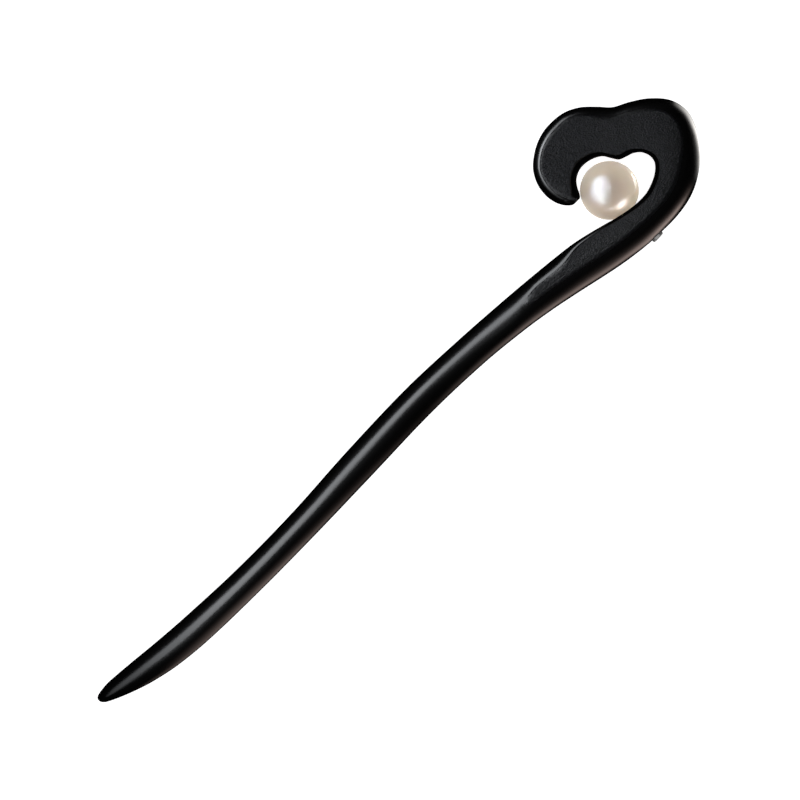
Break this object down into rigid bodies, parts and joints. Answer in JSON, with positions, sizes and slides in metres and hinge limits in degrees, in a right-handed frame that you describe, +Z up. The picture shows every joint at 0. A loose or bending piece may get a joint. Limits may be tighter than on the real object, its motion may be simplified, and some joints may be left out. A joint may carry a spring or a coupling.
{
  "type": "hair stick",
  "caption": "Slim tapered hair stick of black horn with a flat curled head and a round pearl pinned in the curl; the shaft goes through a bun or twist of hair.",
  "frame": {"origin": "on the surface that the stick lies on, under the middle of its box", "axes": "+Y from the tip to the head, +Z up from the surface, +X to the side away from the curl"},
  "size_m": [0.0292, 0.1528, 0.012],
  "materials": {
    "horn": "polished black horn, with fine sanding lines on the flat faces of the head",
    "pearl": "smooth lustrous cream nacre",
    "pin_metal": "polished silver-coloured metal"
  },
  "bodies": {
    "root": {"horn_stick": "horn", "pearl": "pearl", "pearl_pin": "pin_metal"}
  },
  "joints": []
}
